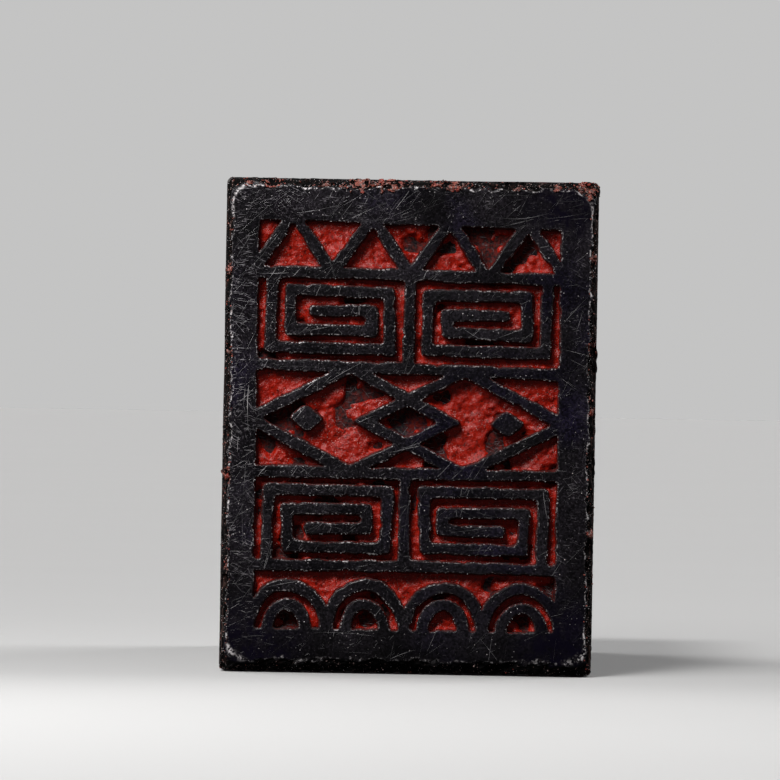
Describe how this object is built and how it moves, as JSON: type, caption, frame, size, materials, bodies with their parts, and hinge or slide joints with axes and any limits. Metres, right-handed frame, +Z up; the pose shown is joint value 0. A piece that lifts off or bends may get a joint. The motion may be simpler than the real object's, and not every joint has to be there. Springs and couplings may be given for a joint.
{
  "type": "seal stamp",
  "caption": "Rectangular dark stone block seal with a raised ornament carved in one end, a worn rim, and dried red seal paste in the carving.",
  "frame": {"origin": "middle of the bounding box's bottom, under the block as it lies on one narrow side", "axes": "-Y out of the carved printing face, +Y towards the far end that is held, +Z up, +X to the right of a viewer who looks at the printing face"},
  "size_m": [0.034, 0.058, 0.045],
  "materials": {
    "black_stone": "satin",
    "red_paste": "satin",
    "dry_paste": "matte"
  },
  "bodies": {
    "root": {"paste_above_waves": "red_paste", "paste_corner_lower_left": "red_paste", "paste_corner_lower_right": "red_paste", "paste_corner_upper_left": "red_paste", "paste_corner_upper_right": "red_paste", "paste_crumb_left_middle": "dry_paste", "paste_crumb_right_upper": "dry_paste", "paste_crumb_top_inner_left": "dry_paste", "paste_crumb_top_inner_right": "dry_paste", "paste_crumb_top_middle": "dry_paste", "paste_crumb_top_outer_left": "dry_paste", "paste_crumb_top_right_corner": "dry_paste", "paste_lozenge_left": "red_paste", "paste_lozenge_link": "red_paste", "paste_lozenge_right": "red_paste", "paste_notch_lower": "red_paste", "paste_notch_upper": "red_paste", "paste_spiral_lower_left": "red_paste", "paste_spiral_lower_right": "red_paste", "paste_spiral_upper_left": "red_paste", "paste_spiral_upper_right": "red_paste", "paste_triangle_down_1": "red_paste", "paste_triangle_down_2": "red_paste", "paste_triangle_down_3": "red_paste", "paste_triangle_left_end": "red_paste", "paste_triangle_right_end": "red_paste", "paste_triangle_up_1": "red_paste", "paste_triangle_up_2": "red_paste", "paste_triangle_up_3": "red_paste", "paste_triangle_up_4": "red_paste", "paste_wave_core_1": "red_paste", "paste_wave_core_2": "red_paste", "paste_wave_core_3": "red_paste", "paste_wave_core_4": "red_paste", "paste_wave_crest_1": "red_paste", "paste_wave_crest_2": "red_paste", "paste_wave_crest_3": "red_paste", "paste_wave_crest_4": "red_paste", "seal_block": "black_stone"}
  },
  "joints": []
}
